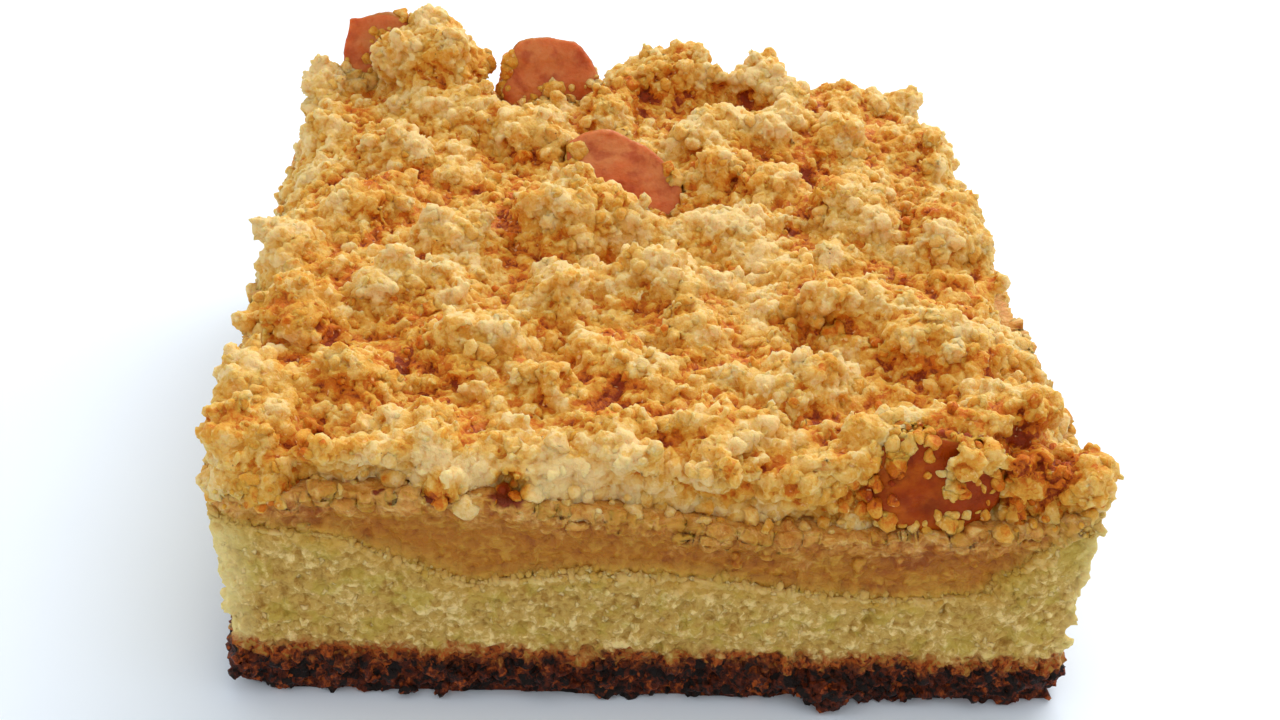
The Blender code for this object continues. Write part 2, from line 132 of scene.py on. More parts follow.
# Open hollows under it at the front; the finishes paint them dark as painted shade
CAVITIES = ((-31, -48, 30.2, 1.7), (-24.5, -48, 29, 2.3), (-17.5, -48, 29.1, 2.4))
# Deeper orange parts of the fruit band, and yellow corners of the sponge
GLAZED = ((28, -49, 26, 7), (13, -49, 25.5, 3), (-40, -48, 26.5, 4))
YELLOW_CORNERS = ((-47, -48, 23.5, 4), (45, -49, 23.5, 5), (38, -49, 19, 3))


def tint(red, green, blue):
    """A colour as the eye reads it, from 0 to 255, as the linear values that a shader takes."""
    shares = [value / 255 for value in (red, green, blue)]
    return tuple(s / 12.92 if s <= 0.04045 else ((s + 0.055) / 1.055) ** 2.4 for s in shares)


def amount(name, description, default, **more):
    return FloatProperty(name=name, description=description, default=default, min=0.0, **more)


def length(name, description, default):
    return amount(name, description, default, precision=5, unit="LENGTH")


def share(name, description, default):
    return amount(name, description, default, max=1.0, subtype="FACTOR")


def angle(name, description, degrees):
    return FloatProperty(name=name, description=description, default=math.radians(degrees), subtype="ANGLE")


def count(name, description, default):
    return IntProperty(name=name, description=description, default=default, min=0)


def colour(name, description, *shades):
    return FloatVectorProperty(
        name=name, description=description, default=tint(*shades), min=0.0, max=1.0, subtype="COLOR"
    )


# Node trees written as sums

HALFWAY = (0.5, 0.5, 0.5)


class Wire:
    """One output of a node. It takes part in sums as a number would."""

    def __init__(self, maker, socket):
        self.maker = maker
        self.socket = socket

    def math(self, operation, *terms):
        return self.maker.node("ShaderNodeMath", {"operation": operation}, dict(enumerate(terms)))

    def __add__(self, other):
        return self.math("ADD", self, other)

    def __sub__(self, other):
        return self.math("SUBTRACT", self, other)

    def __rsub__(self, other):
        return self.math("SUBTRACT", other, self)

    def __mul__(self, other):
        return self.math("MULTIPLY", self, other)

    def __truediv__(self, other):
        return self.math("DIVIDE", self, other)

    def __rtruediv__(self, other):
        return self.math("DIVIDE", other, self)

    def __pow__(self, other):
        return self.math("POWER", self, other)

    def __neg__(self):
        return self.math("MULTIPLY", self, -1.0)

    def __abs__(self):
        return self.math("ABSOLUTE", self)

    __radd__ = __add__
    __rmul__ = __mul__

    def least(self, other):
        return self.math("MINIMUM", self, other)

    def most(self, other):
        return self.math("MAXIMUM", self, other)

    def above(self, other):
        return self.math("GREATER_THAN", self, other)

    def between(self, low, high):
        return self.above(low) * self.math("LESS_THAN", self, high)

    def step(self, low, high):
        """0 below low, 1 above high, and smooth between."""
        settings = {"interpolation_type": "SMOOTHSTEP"}
        return self.maker.node("ShaderNodeMapRange", settings, {0: self, 1: low, 2: high, 3: 0.0, 4: 1.0})


class Maker:
    """Adds nodes to one tree: the settings of each first, and then its sockets."""

    def __init__(self, tree):
        self.tree = tree

    def node(self, kind, settings=None, sockets=None, output=0):
        made = self.tree.nodes.new(kind)
        for name, value in (settings or {}).items():
            setattr(made, name, value)
        for key, value in (sockets or {}).items():
            for item in value if isinstance(value, list) else [value]:
                if isinstance(item, Wire):
                    self.tree.links.new(item.socket, made.inputs[key])
                else:
                    made.inputs[key].default_value = item
        return Wire(self, made.outputs[output])

    def noise(self, place, size, detail=2.0, roughness=0.5, output=0):
        """Noise from 0 to 1, with 0.5 in the middle, and lumps of this size."""
        sockets = {"Vector": place, "Scale": 1 / size, "Detail": detail, "Roughness": roughness}
        return self.node("ShaderNodeTexNoise", None, sockets, output)

    def cells(self, place, size, output="Distance"):
        """Distance from the middle of the nearest cell, as a share of the size."""
        return self.node("ShaderNodeTexVoronoi", None, {"Vector": place, "Scale": 1 / size}, output)

    def drawn(self, place, size, axis=0):
        """A number from 0 to 1 for each cell, drawn at random."""
        return self.part(self.cells(place, size, "Color"), axis)

    def mix(self, share, under, over):
        """Lays one colour over another. Each is a wire, or red, green and blue. The node has sockets for
        numbers and vectors first, and then for colours."""
        under, over = (shade if isinstance(shade, Wire) else (*shade, 1.0) for shade in (under, over))
        return self.node("ShaderNodeMix", {"data_type": "RGBA"}, {0: share, 6: under, 7: over}, 2)

    def vector(self, operation, *terms, output=0):
        return self.node("ShaderNodeVectorMath", {"operation": operation}, dict(enumerate(terms)), output)

    def scaled(self, vector, share):
        return self.node("ShaderNodeVectorMath", {"operation": "SCALE"}, {0: vector, 3: share})

    def part(self, vector, axis):
        return self.node("ShaderNodeSeparateXYZ", None, {0: vector}, axis)

    def axes(self):
        return [self.part(self.place, axis) for axis in range(3)]

    def stirred(self, place, size, reach):
        """The place, pushed to and fro by noise of this size."""
        push = self.vector("SUBTRACT", self.noise(place, size, output="Color"), HALFWAY)
        return self.vector("ADD", place, self.scaled(push, reach))

    def ramp(self, share, *shades):
        """Passes evenly through the shades as the share goes from 0 to 1."""
        found, *others = shades
        for start, shade in enumerate(others):
            found = self.mix(share.step(start / len(others), (start + 1) / len(others)), found, shade)
        return found

    def around(self, place, spots):
        """1 in the inner third of the nearest of some spots, and 0 a little past its reach."""
        found = None
        for *middle, reach in spots:
            away = self.vector("DISTANCE", place, tuple(part * MM for part in middle), output=1)
            share = 1 - away.step(0.3 * reach * MM, 1.2 * reach * MM)
            found = share if found is None else found.most(share)
        return found


# Shaders


def translucent(weight, radius, scale, gloss):
    """What is the same all over a material that light goes some way into."""
    return {
        "Subsurface Weight": weight,
        "Subsurface Radius": radius,
        "Subsurface Scale": scale,
        "Specular IOR Level": gloss,
    }


class Finish(Maker):
    """A material under way. What is the same all over is set on the shader's own sockets."""

    def __init__(self, name, constants):
        self.material = bpy.data.materials.new(name)
        self.material.use_nodes = True
        super().__init__(self.material.node_tree)
        self.shader = self.tree.nodes["Principled BSDF"]
        for key, value in constants.items():
            self.shader.inputs[key].default_value = value
        self.place = self.node("ShaderNodeTexCoord", output="Object")

    def attribute(self, name):
        return self.node("ShaderNodeAttribute", {"attribute_name": name}, output="Fac")

    def done(self, shade, roughness, height, distance):
        """The material, with what varies over it."""
        normal = self.node("ShaderNodeBump", None, {"Height": height, "Distance": distance, "Strength": 1.0})
        for key, wire in (("Base Color", shade), ("Roughness", roughness), ("Normal", normal)):
            self.tree.links.new(wire.socket, self.shader.inputs[key])
        return self.material


# Geometry trees


class Growth(Maker):
    """A Geometry Nodes tree under way, with named inputs after its geometry."""

    def __init__(self, name, inputs):
        super().__init__(bpy.data.node_groups.new(name, "GeometryNodeTree"))
        face = self.tree.interface
        face.new_socket("Geometry", in_out="INPUT", socket_type="NodeSocketGeometry")
        for label, kind in inputs.items():
            face.new_socket(label, in_out="INPUT", socket_type="NodeSocket" + kind)
        face.new_socket("Finish", in_out="INPUT", socket_type="NodeSocketMaterial")
        face.new_socket("Geometry", in_out="OUTPUT", socket_type="NodeSocketGeometry")
        entry = self.tree.nodes.new("NodeGroupInput")
        self.inputs = {socket.name: Wire(self, socket) for socket in entry.outputs if socket.name}
        self.place = self.node("GeometryNodeInputPosition")
        self.normal = self.node("GeometryNodeInputNormal")

    def __getitem__(self, label):
        return self.inputs[label]

    def attribute(self, name):
        return self.node("GeometryNodeInputNamedAttribute", None, {"Name": name})

    def away_from(self, label):
        """Distance to the object that this input names."""
        settings = {"transform_space": "RELATIVE"}
        other = self.node("GeometryNodeObjectInfo", settings, {"Object": self[label]}, "Geometry")
        return self.node("GeometryNodeProximity", None, {0: other, "Sample Position": self.place}, "Distance")

    def random(self, seed):
        """A number from 0 to 1, which is the node's second output."""
        return self.node("FunctionNodeRandomValue", None, {"Seed": seed}, 1)

    def random_vector(self, low, high, seed):
        settings = {"data_type": "FLOAT_VECTOR"}
        return self.node("FunctionNodeRandomValue", settings, {0: (low,) * 3, 1: (high,) * 3, "Seed": seed})

    def moved(self, geometry, offset):
        return self.node("GeometryNodeSetPosition", None, {"Geometry": geometry, "Offset": offset})

    def stored(self, geometry, name, value):
        sockets = {"Geometry": geometry, "Name": name, "Value": value}
        return self.node("GeometryNodeStoreNamedAttribute", None, sockets)

    def dip(self, times):
        """The way from each point to the middle of those round it, and how far out that is."""
        settings, sockets = {"data_type": "FLOAT_VECTOR"}, {"Value": self.place, "Iterations": times}
        middle = self.node("GeometryNodeBlurAttribute", settings, sockets)
        lift = self.vector("SUBTRACT", middle, self.place)
        return lift, self.vector("DOT_PRODUCT", lift, self.normal, output=1)

    def raised(self, height, geometry=None):
        """The finished tree: each point is raised along its normal."""
        return self.finished(self.moved(geometry or self["Geometry"], self.scaled(self.normal, height)))

    def finished(self, geometry):
        solid = self.node("GeometryNodeRealizeInstances", None, {"Geometry": geometry})
        smooth = self.node("GeometryNodeSetShadeSmooth", None, {"Geometry": solid})
        dressed = self.node("GeometryNodeSetMaterial", None, {"Geometry": smooth, "Material": self["Finish"]})
        self.tree.links.new(dressed.socket, self.tree.nodes.new("NodeGroupOutput").inputs[0])
        return self.tree


def placed(name, data):
    """A new object in the scene."""
    made = bpy.data.objects.new(name, data)
    bpy.context.scene.collection.objects.link(made)
    return made


def applied(piece):
    """Turns the piece, with its modifiers, into a plain mesh."""
    graph = bpy.context.evaluated_depsgraph_get()
    evaluated = piece.evaluated_get(graph)
    mesh = bpy.data.meshes.new_from_object(evaluated, preserve_all_data_layers=True, depsgraph=graph)
    piece.modifiers.clear()
    old = piece.data
    piece.data = mesh
    bpy.data.meshes.remove(old)
    mesh.name = piece.name


def grown(piece, tree, finish, **values):
    """Runs a geometry tree on the piece. Each value goes to the input of its name."""
    modifier = piece.modifiers.new(tree.name, "NODES")
    modifier.node_group = tree
    wanted = {key.replace("_", " "): value for key, value in values.items()}
    wanted["finish"] = finish
    for item in tree.interface.items_tree:
        if item.in_out == "INPUT" and item.name.lower() in wanted:
            modifier[item.identifier] = wanted[item.name.lower()]
    applied(piece)


def changed(piece, kind, **settings):
    """Runs a modifier of this kind on the piece."""
    modifier = piece.modifiers.new(kind, kind)
    for key, value in settings.items():
        setattr(modifier, key, value)
    applied(piece)


def remeshed(piece, voxel):
    changed(piece, "REMESH", mode="VOXEL", voxel_size=voxel)


def thinned(piece, triangles):
    present = sum(len(face.vertices) - 2 for face in piece.data.polygons)
    if present > triangles:
        changed(piece, "DECIMATE", ratio=triangles / present)


def copied(name, *sources, merge=False):
    """Copies of some objects as one, to measure from or to grow on, or else merged, to work on."""
    shape = bmesh.new()
    for source in sources:
        shape.from_mesh(source.data)
    if merge:
        bmesh.ops.remove_doubles(shape, verts=shape.verts[:], dist=SAME_POINT)
    mesh = bpy.data.meshes.new(name)
    shape.to_mesh(mesh)
    shape.free()
    return placed(name, mesh)


def dropped(*pieces):
    """Takes away the copies that others were measured from."""
    for piece in pieces:
        bpy.data.objects.remove(piece)


def kept_in_box(piece):
    low, high = CAD_BOX
    for vertex in piece.data.vertices:
        co = vertex.co
        for axis in range(3):
            co[axis] = min(max(co[axis], low[axis] + BOX_MARGIN), high[axis] - BOX_MARGIN)


def largest_body(piece):
    """Drops loose scraps and sealed hollows."""
    shape = bmesh.new()
    shape.from_mesh(piece.data)
    unseen = set(shape.verts)
    bodies = []
    while unseen:
        body = {unseen.pop()}
        frontier = list(body)
        while frontier:
            vertex = frontier.pop()
            near = {edge.other_vert(vertex) for edge in vertex.link_edges} & unseen
            unseen -= near
            body |= near
            frontier.extend(near)
        bodies.append(body)
    bodies.sort(key=len)
    for body in bodies[:-1]:
        bmesh.ops.delete(shape, geom=list(body), context="VERTS")
    shape.to_mesh(piece.data)
    shape.free()


def settled(piece, slot, *nodes):
    """Hands a finished piece to the frame, without the empty slot that a tree leaves before the material."""
    if piece.data.materials[0] is None:
        piece.data.materials.pop(index=0)
    kept_in_box(piece)
    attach(piece, BODY)
    if nodes:
        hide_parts(*nodes)


def granule_tree(name, fused=True):
    """Crumbs of uneven size, sunk in a surface, at some distance from another piece. They are fused to the
    surface, or else they come alone, each with a shade of its own."""
    sizes = ("Shrink", "Spacing", "Smallest", "Largest", "Sunk", "Lowest", "Highest", "Facing From",
             "Facing To", "Clearance", "Within", "Rim", "Bare")
    inputs = dict.fromkeys(sizes, "Float") | {"Other": "Object", "Roundness": "Int", "Seed": "Int"}
    tree = Growth(name, inputs)
    body = tree.moved(tree["Geometry"], tree.scaled(tree.normal, -tree["Shrink"]))
    across, along, level = tree.axes()
    there = level.between(tree["Lowest"], tree["Highest"]) * abs(across).most(abs(along)).above(tree["Rim"])
    there = there * tree.part(tree.normal, 2).between(tree["Facing From"], tree["Facing To"])
    there = there * tree.away_from("Other").between(tree["Clearance"], tree["Within"])
    patch = tree.noise(tree.place, BARE_PATCH) - tree.around(tree.place, CAVITIES)
    there = there * patch.above(tree["Bare"])
    most = 2.0 / (tree["Spacing"] * tree["Spacing"])
    sockets = {"Mesh": body, "Distance Min": tree["Spacing"], "Density Max": most, "Density Factor": there,
               "Seed": tree["Seed"]}
    points = tree.node("GeometryNodeDistributePointsOnFaces", {"distribute_method": "POISSON"}, sockets)
    out = Wire(tree, points.socket.node.outputs["Normal"])
    size = tree["Smallest"] + (tree["Largest"] - tree["Smallest"]) * tree.random(tree["Seed"]) ** FEW_LARGE
    kept = tree.stored(tree.stored(points, "size", size), "shade", tree.random(tree["Seed"] + 3))
    size = tree.attribute("size")
    sunk = tree.moved(kept, tree.scaled(out, -size * tree["Sunk"]))
    ball = tree.node("GeometryNodeMeshIcoSphere", None, {"Radius": 1.0, "Subdivisions": tree["Roundness"]})
    spread = tree.scaled(tree.random_vector(*STRETCH, tree["Seed"] + 1), size)
    turn = tree.random_vector(0.0, 2 * math.pi, tree["Seed"] + 2)
    sockets = {"Points": sunk, "Instance": ball, "Rotation": turn, "Scale": spread}
    crumbs = tree.node("GeometryNodeInstanceOnPoints", None, sockets)
    crumbs = tree.node("GeometryNodeRealizeInstances", None, {"Geometry": crumbs})
    lump, detail, reach = (0.95 * MM, 2.0, 2.2) if fused else (1.4 * MM, 1.0, 1.7)
    twist = tree.vector("SUBTRACT", tree.noise(tree.place, lump, detail, 0.6, "Color"), HALFWAY)
    crumbs = tree.moved(crumbs, tree.scaled(twist, size * reach))
    if not fused:
        return tree.finished(crumbs)
    whole = tree.node("GeometryNodeJoinGeometry", None, {0: [body, crumbs]})
    return tree.finished(whole)


def fill_tree():
    """Fills the valleys that face up, part of the way."""
    tree = Growth("Fill", {"Times": "Int", "Share": "Float"})
    lift, depth = tree.dip(tree["Times"])
    hollow = depth.above(0.0) * tree.part(tree.normal, 2).step(0.1, 0.5)
    return tree.finished(tree.moved(tree["Geometry"], tree.scaled(lift, hollow * tree["Share"])))


def snug_tree():
    """Swells a layer a little, so that it meets its neighbours."""
    tree = Growth("Snug", {"Reach": "Float"})
    level = abs(tree.part(tree.normal, 2)).step(0.2, 0.6)
    return tree.raised(level * tree["Reach"])


def near_marked(piece, finish, **neighbours):
    """Marks how near each point lies to some neighbours: 1 where they touch, and 0 at the reach."""
    for mark, (neighbour, reach) in neighbours.items():
        tree = Growth("Beside", {"Neighbour": "Object", "Reach": "Float"})
        tree.finished(tree.stored(tree["Geometry"], mark, 1 - tree.away_from("Neighbour") / tree["Reach"]))
        grown(piece, tree.tree, finish, neighbour=neighbour, reach=reach)


def hollows_marked(piece, finish, far=40):
    """Marks how deep each point lies in a small hollow, and in one that is this many steps wide."""
    tree = Growth("Hollows", {"Near": "Int", "Far": "Int", "Fine": "Float", "Deep": "Float"})
    found = tree["Geometry"]
    for name, reach, whole in (("fine", "Near", "Fine"), ("deep", "Far", "Deep")):
        _, depth = tree.dip(tree[reach])
        found = tree.stored(found, name, depth / tree[whole])
    grown(piece, tree.finished(found), finish, near=6, far=far, fine=0.22 * MM, deep=1.0 * MM)


# Sponge

ELSEWHERE = (0.1, 0.0, 0.0)  # where to read a noise again, so that it isn't the same


class CakeSponge(bpy.types.PropertyGroup):
    voxel: length("Grain", "Finest size of the sponge's surface", 0.00034)
    crust: length("Crust", "Height of the dark baked underside", 0.0061)
    edge: length("Crust edge", "Height of the brown edge above the crust", 0.0026)
    pore: length("Pore", "Width of the larger pores", 0.0026)
    pore_depth: length("Pore depth", "Depth of the larger pores", 0.00055)
    rough: length("Roughness", "Height of the torn crumb of the sponge", 0.00042)
    pale: colour("Pale", "Lightest of the sponge", 242, 212, 142)
    body: colour("Body", "Most of the sponge", 200, 162, 82)
    moist: colour("Moist", "Moist parts under the fruit", 200, 146, 48)
    # The hollow colour is darker sponge: random darker crumb, and painted shade in the small hollows
    hollow: colour("Hollow", "Inside of the pores", 170, 124, 50)
    # Side is painted light: the left, right and back cut sides are paler, as lit from behind
    side: colour("Side", "Pale cut sides and their edges", 240, 218, 146)
    green: colour("Green", "Yellow-green patches", 190, 166, 62)
    toasted: colour("Toasted", "Orange brown edge of the crust", 168, 78, 22)
    brown: colour("Brown", "Brown crumbs of the crust", 86, 30, 7)
    dark: colour("Dark", "The crust itself", 20, 8, 3)
    triangles: count("Triangles", "Most triangles of the sponge", 190000)


def sponge_finish(look):
    light = translucent(weight=0.25, radius=(1.0, 0.62, 0.26), scale=1.6 * MM, gloss=0.20)
    made = Finish("sponge_crumb", light)
    across, along, level = made.axes()
    place = made.stirred(made.place, *CRUMB_STIR)
    patch = made.noise(place, 5 * MM, 3.0) - 0.5
    crumb = made.noise(place, 0.7 * MM, 3.0, 0.6) - 0.5
    bit = made.drawn(place, 1.1 * MM) - 0.5
    # The tone is lower in small hollows: painted shade
    tone = 0.50 + patch * 0.9 + crumb * 1.6 + bit * 0.45 - made.attribute("fine") * 0.16
    shade = made.ramp(tone, look.hollow, look.body, look.pale)

    green = made.noise(made.vector("ADD", place, ELSEWHERE), 2.6 * MM).step(0.48, 0.66)
    green = green.most(made.around(place, YELLOW_CORNERS))
    shade = made.mix(green * 0.5, shade, look.green)
    # Painted light: paler towards the left, right and back cut sides, which the light from behind falls on
    far_side = abs(along) * along.above(0.0)
    lit_ends = (abs(across).most(far_side) + patch * 3 * MM).step(43.5 * MM, 48.0 * MM)
    shade = made.mix(lit_ends * 0.8, shade, look.side)
    damp = (made.attribute("filling") + patch * 1.2 + crumb * 0.8).step(0.1, 0.95)
    shade = made.mix(damp * 0.7, shade, look.moist)
    # Pale specks, partly pale crumb and partly painted highlights
    pale_speck_and_highlight = 1 - made.cells(place, 1.25 * MM).step(0.14, 0.34)
    pale_speck_and_highlight = pale_speck_and_highlight * made.drawn(place, 1.25 * MM, 1).step(0.52, 0.60)
    shade = made.mix(pale_speck_and_highlight * 0.75, shade, look.pale)

    ragged = level + (made.noise(place, 2.6 * MM, 3.0, 0.65) - 0.5) * 5.8 * MM
    toasted = 1 - ragged.step(look.crust + 0.4 * MM, look.crust + look.edge)
    patchy = (made.noise(place, 1.3 * MM) + toasted * 0.3).step(0.46, 0.60)
    baked = made.ramp(0.5 + crumb * 2.6 + bit * 0.7, look.brown, look.toasted, look.hollow)
    shade = made.mix(toasted * patchy, shade, baked)
    dark = 1 - ragged.step(look.crust - 1.2 * MM, look.crust + 0.4 * MM)
    crust = made.ramp(0.25 + crumb * 2.2 + bit * 0.9, look.dark, look.brown, look.toasted)
    shade = made.mix(dark, shade, crust)
    height = crumb * 0.8 + pale_speck_and_highlight * 0.5 + made.noise(made.place, 0.3 * MM) * 0.3
    return made.done(shade, 0.74 - 0.24 * dark, height, 0.45 * MM)


def sponge_relief():
    """Pores and torn crumb on the cut sides, coarser on the baked underside, and none of it on the foot."""
    inputs = {"Crust": "Float", "Pore": "Float", "Pore Depth": "Float", "Rough": "Float"}
    tree = Growth("Sponge relief", inputs)
    level = tree.part(tree.place, 2)
    side = 1 - abs(tree.part(tree.normal, 2)).step(0.55, 0.85)
    torn = tree.stirred(tree.place, 1.8 * MM, 2.2 * MM)
    open_pore = tree.drawn(torn, tree["Pore"]).step(0.55, 0.9)
    pit = (1 - tree.cells(torn, tree["Pore"]).step(0.10, 0.55)) * open_pore
    near = tree.cells(torn, 1.2 * MM)
    grains = 0.35 - near * near * 1.4
    chips = tree.drawn(torn, 1.2 * MM, 1) - 0.5
    grain = (tree.noise(tree.place, 0.9 * MM, 3.0, 0.6) - 0.5) * 2.4
    wave = (tree.noise(tree.place, 5.0 * MM, 3.0, 0.6) - 0.5) * 1.2
    crumb = 1 - level.step(tree["Crust"] - 0.5 * MM, tree["Crust"] + 1.5 * MM)
    rough = (grains + chips * 0.7 + grain + wave) * tree["Rough"]
    seam = tree.attribute("filling").step(0.4, 0.95)
    shift = rough + seam * 0.10 * MM - pit * tree["Pore Depth"] * (1 - crumb)
    coarse = (tree.noise(tree.place, 1.9 * MM, 3.0, 0.65) - 0.5) * 3.2 * MM + chips * 0.7 * MM
    shift = (shift + coarse * crumb) * side
    foot = level.step(0.05 * MM, 0.5 * MM)
    return tree.raised(shift * (0.25 + 0.75 * foot))


class CAKE_OT_sponge(bpy.types.Operator):
    """Porous sponge, with the crumbs of its dark baked underside"""

    bl_idname = "cake.sponge"
    bl_label = "Sponge and crust"

    def execute(self, context):
        look = context.scene.cake_sponge
        finish = sponge_finish(look)
        piece = copied("sponge", SOLIDS["sponge_base"], merge=True)
        filling = copied("filling", SOLIDS["fruit_layer"])
        tree = granule_tree("Sponge crumbs")
        sides = {"facing_from": -0.4, "facing_to": 0.6, "other": filling, "clearance": 0.0, "roundness": 1}
        grown(piece, tree, finish, lowest=0.8 * MM, highest=look.crust + 1.4 * MM, within=ANYWHERE,
              spacing=1.6 * MM, smallest=0.5 * MM, largest=1.45 * MM, sunk=0.25, seed=3, **sides)
        grown(piece, tree, finish, lowest=CUT_SIDES, highest=ANYWHERE, within=1.6 * MM,
              spacing=1.3 * MM, smallest=0.5 * MM, largest=1.4 * MM, sunk=0.45, seed=4, **sides)
        remeshed(piece, look.voxel)
        largest_body(piece)
        near_marked(piece, finish, filling=(filling, JUICE_REACH))
        grown(piece, sponge_relief(), finish, crust=look.crust, pore=look.pore, pore_depth=look.pore_depth,
              rough=look.rough)
        thinned(piece, look.triangles)
        hollows_marked(piece, finish)
        near_marked(piece, finish, filling=(filling, JUICE_REACH))
        dropped(filling)
        settled(piece, "sponge", "sponge_base")
        return {"FINISHED"}


# Soft fruit


class CakeFruit(bpy.types.PropertyGroup):
    voxel: length("Grain", "Finest size of the fruit's surface", 0.00036)
    swell: length("Swell", "Height of the soft swells on the cut band", 0.00045)
    amber: colour("Amber", "Most of the cooked fruit", 178, 109, 18)
    # The deep colour is darker fruit, also painted as shade in small hollows
    deep: colour("Deep", "Darker, glazed parts", 158, 82, 10)
    clear: colour("Clear", "Clear, yellow parts", 194, 138, 42)
    moist: colour("Moist", "Where the fruit meets the sponge", 202, 146, 52)
    crumb: colour("Crumb", "Palest crumbs on the fruit", 240, 194, 120)
    soaked: colour("Soaked", "Crumbs soaked by the fruit", 222, 160, 76)
    gold: colour("Gold", "Darkest of the soaked crumbs", 200, 126, 38)
    # The cavity colour is painted shade inside the open hollows
    cavity_shade: colour("Cavity", "Inside of the open hollows", 124, 42, 2)
    # A darker copy of the skin colours for the front piece: painted shade, as it lies under the crumble's
    # arch
    skin_in_shade: colour("Glaze", "The deep orange piece at the front", 156, 56, 0)
    skin_in_shade_pale: colour("Glaze, pale", "Paler parts of it", 182, 86, 8)
    skin_in_shade_deep: colour("Glaze, deep", "Darkest of it", 122, 36, 0)
    skin: colour("Skin", "Baked skin", 208, 104, 44)
    skin_deep: colour("Skin, deep", "Darkest of the skin", 172, 62, 16)
    skin_pale: colour("Skin, pale", "Paler streaks of the skin", 212, 126, 66)
    triangles: count("Triangles", "Most triangles of the band", 110000)


def fruit_finish(look):
    light = translucent(weight=0.45, radius=(1.0, 0.48, 0.14), scale=2.6 * MM, gloss=0.28)
    made = Finish("fruit_band", light)
    place = made.stirred(made.place, *FRUIT_STIR)
    flat = made.vector("MULTIPLY", made.place, (1.0, 1.0, 2.2))
    layer = made.noise(flat, 7 * MM, 3.0) - 0.5
    cluster = made.noise(place, 3.2 * MM, 3.0, 0.6) - 0.5
    crumb = made.noise(place, 1.1 * MM, 3.0, 0.6) - 0.5
    bit = made.drawn(place, 1.4 * MM) - 0.5
    # The tone is lower in small hollows: painted shade
    tone = 0.55 + layer + crumb + bit * 0.40 - made.attribute("fine") * 0.20
    tone = tone - made.around(place, GLAZED) * 0.5
    shade = made.ramp(tone, look.deep, look.amber, look.clear)
    damp = (made.attribute("base") + crumb * 1.2 + layer).step(0.1, 1.0)
    shade = made.mix(damp * 0.8, shade, look.moist)
    topping = (made.attribute("topping") + crumb * 1.2 + cluster * 2.4).step(0.1, 0.9)
    soaked = made.ramp(0.5 + crumb * 2.0 + bit * 0.3, look.gold, look.soaked, look.crumb)
    shade = made.mix(topping * 0.85, shade, soaked)
    # The open hollows at the front are painted dark: painted shade
    shade = made.mix(made.around(place, CAVITIES).step(0.1, 0.45), shade, look.cavity_shade)
    roughness = 0.36 + 0.30 * made.noise(made.place, 2.0 * MM)
    return made.done(shade, roughness, crumb + bit * 0.3, 0.6 * MM)


def fruit_relief():
    """Soft swells on the cut sides, and crumbs where the crumble lies on the fruit."""
    tree = Growth("Fruit relief", {"Swell": "Float"})
    side = 1 - abs(tree.part(tree.normal, 2)).step(0.55, 0.85)
    flat = tree.vector("MULTIPLY", tree.place, (1.0, 1.0, 1.8))
    layers = (tree.noise(flat, 7.5 * MM, 3.0) - 0.5) * 1.6
    crumbs = (tree.drawn(tree.stirred(tree.place, *FRUIT_STIR), 1.4 * MM, 1) - 0.5) * 0.3
    grain = (tree.noise(tree.place, 1.1 * MM, 3.0, 0.65) - 0.5) * 3.4
    topping, seam = tree.attribute("topping").step(0.0, 0.8), tree.attribute("base").step(0.4, 0.95)
    proud = topping * 2.3 + seam * 1.3
    shift = (layers + (crumbs + grain) * (0.9 + 0.7 * topping.most(seam)) + proud) * tree["Swell"] * side
    return tree.raised(shift)


class CAKE_OT_fruit(bpy.types.Operator):
    """The band of soft cooked fruit between the sponge and the crumble"""

    bl_idname = "cake.fruit"
    bl_label = "Soft fruit"

    def execute(self, context):
        look = context.scene.cake_fruit
        finish = fruit_finish(look)
        piece = copied("fruit_filling", SOLIDS["fruit_layer"], merge=True)
        topping = copied("topping", SOLIDS["crumb_topping"], SOLIDS["fruit_wedge_front_right"])
        base = copied("base", SOLIDS["sponge_base"])
        near = {"topping": (topping, 4.5 * MM), "base": (base, 2.5 * MM)}
        tree = granule_tree("Soaked crumbs")
        edge = {"lowest": 0.0, "highest": ANYWHERE, "facing_from": -0.4, "facing_to": 0.6, "roundness": 1}
        grown(piece, tree, finish, other=topping, clearance=0.0, within=1.3 * MM, spacing=1.3 * MM,
              smallest=0.4 * MM, largest=1.2 * MM, sunk=0.35, seed=5, **edge)
        grown(piece, tree, finish, other=topping, clearance=0.8 * MM, within=7.0 * MM, spacing=1.6 * MM,
              smallest=0.5 * MM, largest=1.1 * MM, sunk=0.50, seed=6, **edge)
        grown(piece, tree, finish, other=base, clearance=0.0, within=0.8 * MM, spacing=1.0 * MM,
              smallest=0.4 * MM, largest=1.0 * MM, sunk=0.50, seed=8, **edge)
        remeshed(piece, look.voxel)
        largest_body(piece)
        changed(piece, "SMOOTH", iterations=5)
        grown(piece, snug_tree(), finish, reach=0.45 * MM)
        near_marked(piece, finish, **near)
        grown(piece, fruit_relief(), finish, swell=look.swell)
        thinned(piece, look.triangles)
        hollows_marked(piece, finish)
        near_marked(piece, finish, **near)
        dropped(topping, base)
        settled(piece, "soft_fruit", "fruit_layer")
        return {"FINISHED"}


def skin_finish(name, look, gloss, shades):
    made = Finish(name, translucent(weight=0.35, radius=(1.0, 0.40, 0.15), scale=2.5 * MM, gloss=gloss))
    streak = made.noise(made.vector("MULTIPLY", made.place, (1.0, 2.2, 1.0)), 5 * MM, 4.0, 0.6)
    blot = made.noise(made.place, 2.2 * MM, 3.0)
    plain, pale, deep = shades
    skin = made.mix(streak.step(0.40, 0.66), plain, pale)
    skin = made.mix(blot.step(0.46, 0.70) * 0.7, skin, deep)
    flesh = made.ramp(0.5 + (streak - 0.5) * 1.8 + (blot - 0.5) * 0.8, look.deep, look.amber, look.clear)
    shade = made.mix(made.attribute("skin").step(0.45, 0.75), flesh, skin)
    return made.done(shade, 0.30 + 0.22 * blot, made.noise(made.place, 0.9 * MM, 3.0, 0.6), 0.26 * MM)


